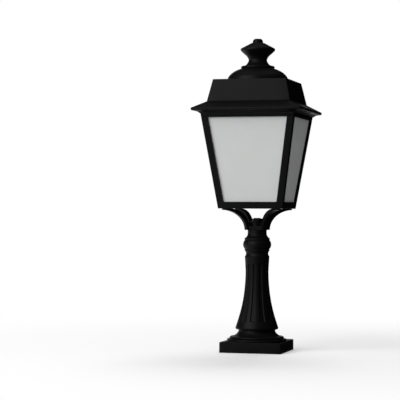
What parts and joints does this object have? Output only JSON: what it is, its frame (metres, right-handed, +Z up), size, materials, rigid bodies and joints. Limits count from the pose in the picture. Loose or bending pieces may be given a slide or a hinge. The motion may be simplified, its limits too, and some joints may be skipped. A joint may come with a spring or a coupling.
{
  "type": "post top lantern",
  "caption": "Square tapered lantern with opal panes, domed roof and finial on a short fluted column, for standing on a wall pier or post top.",
  "frame": {"origin": "centre of the plinth's underside", "axes": "+Z up along the column, -Y the front"},
  "size_m": [0.2826, 0.2826, 0.8059],
  "materials": {
    "black_powder_coat": "satin black polyester powder coat on cast aluminium",
    "opal_acrylic": "opal cast acrylic, smooth satin face",
    "zinc_plated_steel": "zinc plated, dull",
    "stainless_screw": "plain stainless steel",
    "seal_rubber": "black EPDM rubber, matt",
    "black_nylon": "moulded black nylon",
    "white_porcelain": "white glazed porcelain",
    "brass": "plain pressed brass",
    "lamp_cap_aluminium": "plain rolled aluminium",
    "opal_lamp_envelope": "opal moulded envelope",
    "grey_terminal_plastic": "moulded grey polyamide",
    "lead_brown": "brown silicone insulation",
    "lead_blue": "blue silicone insulation",
    "lead_green_yellow": "green and yellow silicone insulation"
  },
  "bodies": {
    "root": {"base_plinth": "black_powder_coat", "column_shaft": "black_powder_coat", "capital": "black_powder_coat", "tie_tube": "zinc_plated_steel", "base_washer": "zinc_plated_steel", "base_nut": "zinc_plated_steel", "hub_washer": "black_powder_coat", "hub_nut": "black_powder_coat", "entry_bush": "black_nylon", "outlet_bush": "black_nylon", "arm_bracket": "black_powder_coat", "bottom_frame": "black_powder_coat", "top_frame": "black_powder_coat", "post_screws_bottom": "stainless_screw", "post_screws_top": "stainless_screw", "lantern_floor": "black_powder_coat", "bracket_screws": "stainless_screw", "pane_clips": "stainless_screw", "pane_clip_screws": "stainless_screw", "roof_yoke": "zinc_plated_steel", "yoke_screws": "stainless_screw", "roof_stud": "zinc_plated_steel", "stud_nuts": "zinc_plated_steel", "holder_bracket": "zinc_plated_steel", "holder_screws": "stainless_screw", "lamp_holder": "white_porcelain", "holder_shell": "brass", "holder_contact": "brass", "terminal_block": "grey_terminal_plastic", "terminal_screws": "stainless_screw", "cable_gland": "black_nylon", "gland_nut": "black_nylon", "live_lead": "lead_brown", "neutral_lead": "lead_blue", "earth_lead": "lead_green_yellow", "earth_screw": "stainless_screw", "corner_post_1": "black_powder_coat", "corner_post_2": "black_powder_coat", "corner_post_3": "black_powder_coat", "corner_post_4": "black_powder_coat", "pane_front": "opal_acrylic", "pane_right": "opal_acrylic", "pane_back": "opal_acrylic", "pane_left": "opal_acrylic", "pane_seal_front": "seal_rubber", "pane_seal_right": "seal_rubber", "pane_seal_back": "seal_rubber", "pane_seal_left": "seal_rubber"},
    "roof": {"roof_gasket": "seal_rubber", "roof_eave": "black_powder_coat", "roof_box": "black_powder_coat", "roof_screws": "stainless_screw", "roof_dome": "black_powder_coat", "dome_screws": "stainless_screw"},
    "finial": {"finial_washer": "seal_rubber", "finial": "black_powder_coat"},
    "lamp": {"lamp_cap": "lamp_cap_aluminium", "lamp_bulb": "opal_lamp_envelope"}
  },
  "joints": [
    {"name": "roof_lift", "type": "slide", "parent": "root", "child": "roof", "axis": [0, 0, 1], "range_m": [0, 0.15]},
    {"name": "finial_turn", "type": "hinge", "parent": "roof", "child": "finial", "pos_m": [0, 0, 0.73041], "axis": [0, 0, 1], "range_deg": [0, 3456]},
    {"name": "lamp_turn", "type": "hinge", "parent": "root", "child": "lamp", "pos_m": [0, 0, 0.4016], "axis": [0, 0, 1], "range_deg": [0, 1260]}
  ]
}
